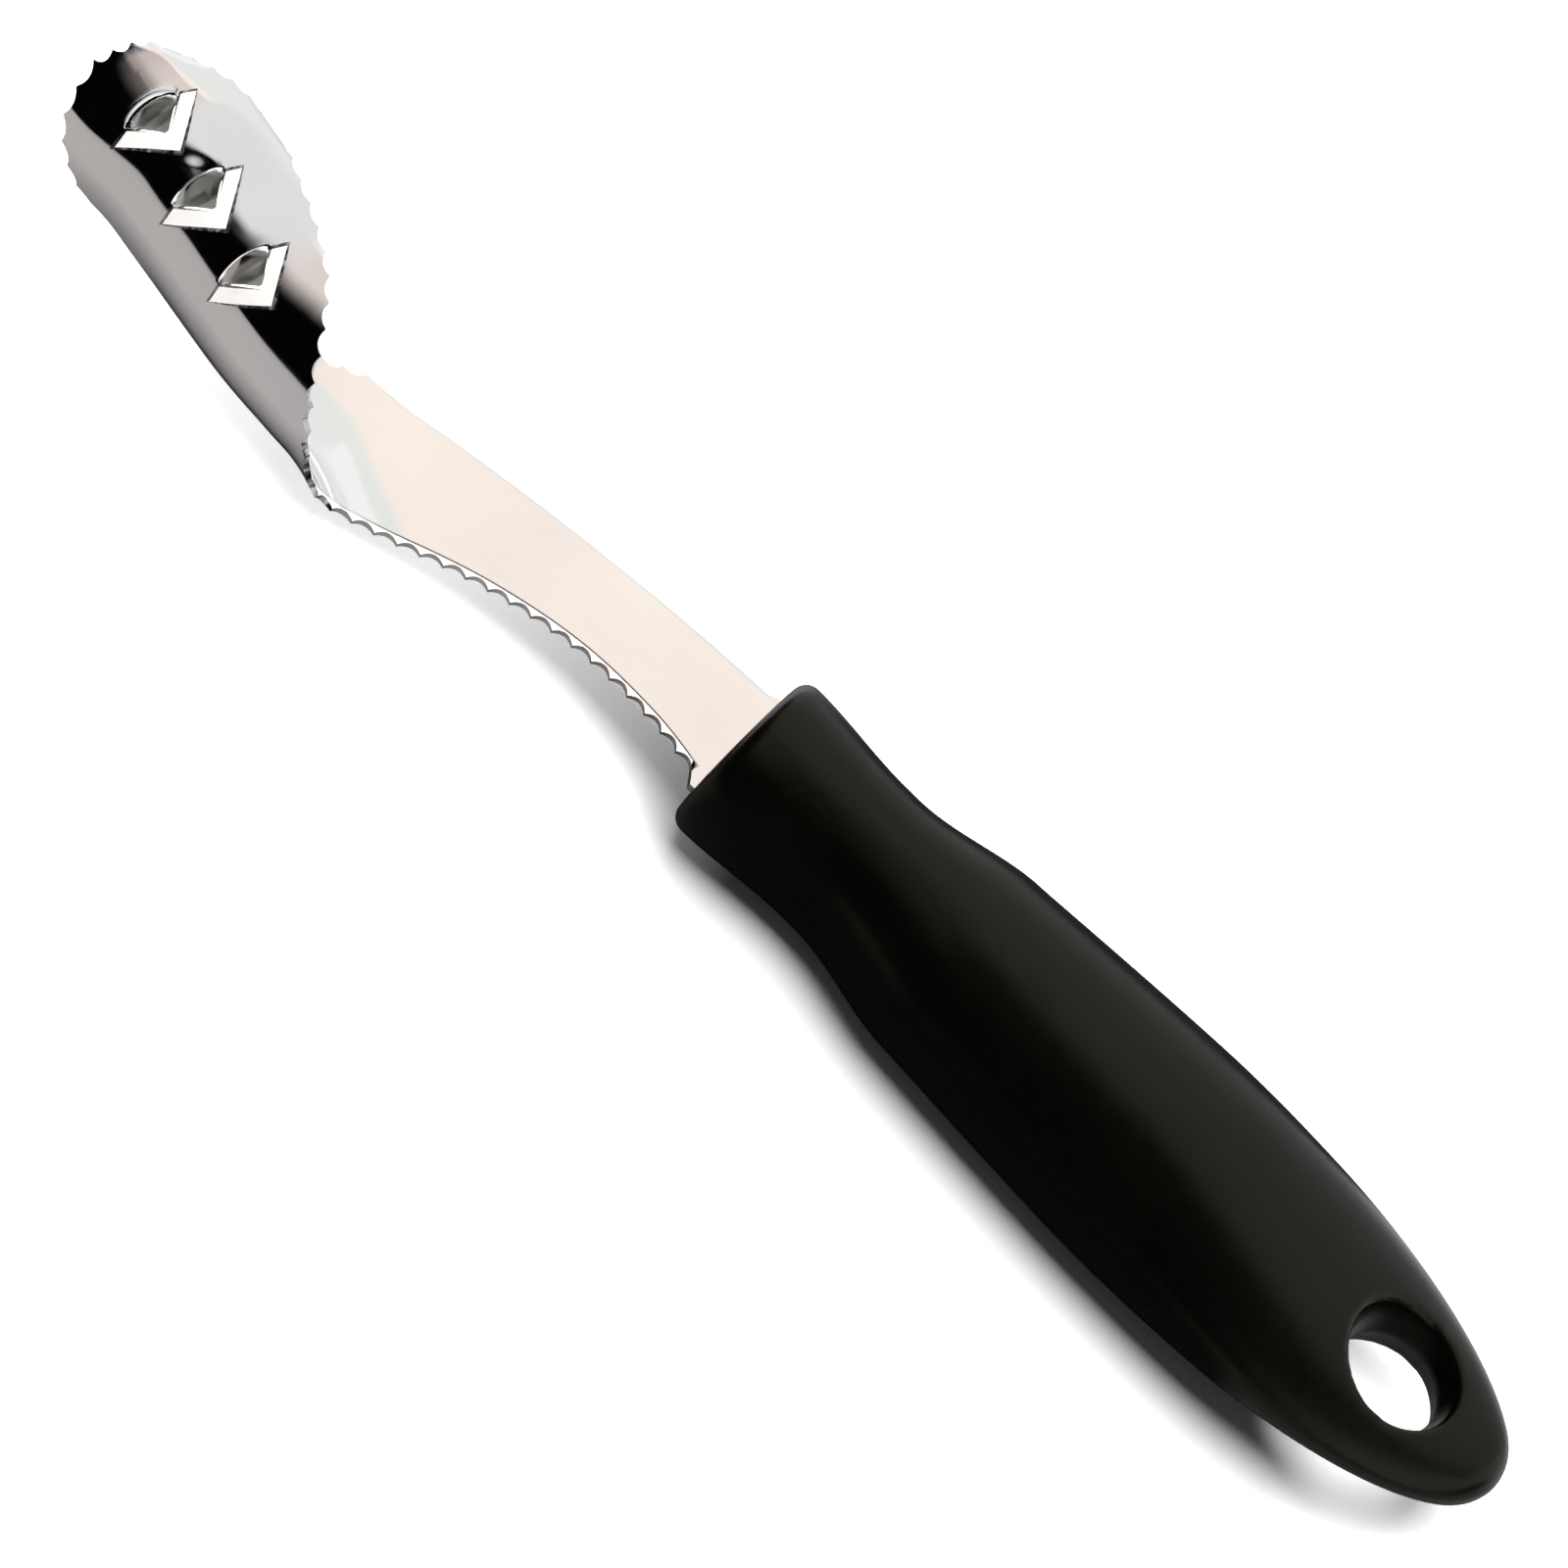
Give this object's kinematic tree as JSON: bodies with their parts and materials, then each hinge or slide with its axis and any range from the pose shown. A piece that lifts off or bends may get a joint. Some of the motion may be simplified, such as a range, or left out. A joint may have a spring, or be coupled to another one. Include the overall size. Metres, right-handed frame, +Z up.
{
  "type": "chili pepper corer",
  "caption": "Hand tool with a curved, serrated steel gouge that has raised cutting teeth, on a flat shank set in a soft oval handle with a hanging hole.",
  "frame": {"origin": "centre of the hanging hole, on the handle's middle plane", "axes": "+X along the handle to the butt, with the tip at -X; +Z up, along the hanging hole and out of the shank's upper face; the shank's serrated edge is at -Y"},
  "size_m": [0.2078, 0.03, 0.0279],
  "materials": {
    "blade": "mirror polished stainless sheet",
    "core": "plain moulded",
    "grip": "matte soft touch"
  },
  "bodies": {
    "root": {"blade": "blade", "core": "core", "grip": "grip"}
  },
  "joints": []
}
